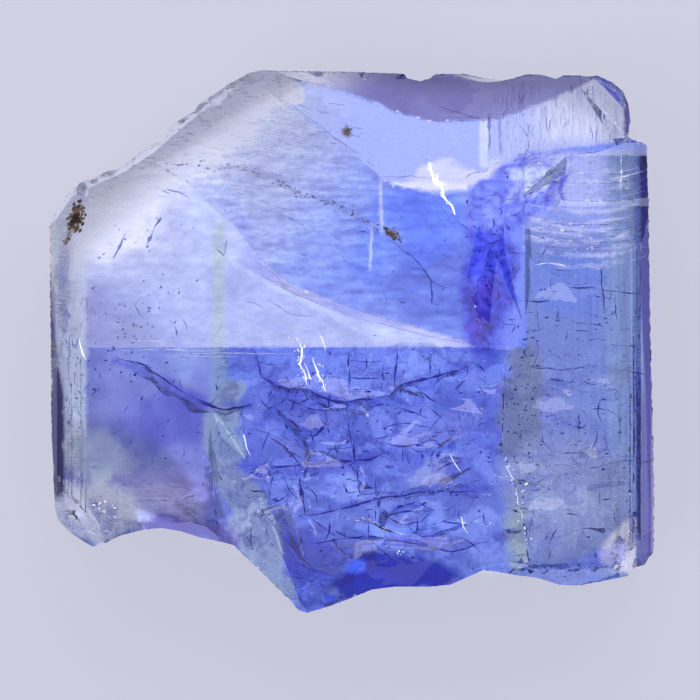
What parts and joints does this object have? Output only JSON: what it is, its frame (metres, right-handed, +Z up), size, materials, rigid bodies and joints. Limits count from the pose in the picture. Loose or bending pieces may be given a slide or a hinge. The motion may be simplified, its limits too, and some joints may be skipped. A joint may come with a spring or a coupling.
{
  "type": "tanzanite crystal",
  "caption": "Clear blue-violet flattened prism of a natural crystal, two prisms grown together, broken at both ends, resting flat on its back face.",
  "frame": {"origin": "on the resting plane, under the middle of the bounding box", "axes": "+X across the prism (its longest extent), +Y along the prism towards the thin broken end, +Z up out of the flat front face"},
  "size_m": [0.022, 0.0198, 0.0086],
  "materials": {
    "tanzanite": "natural clear crystal faces with etched and conchoidal breaks"
  },
  "bodies": {
    "root": {"crystal": "tanzanite"}
  },
  "joints": []
}
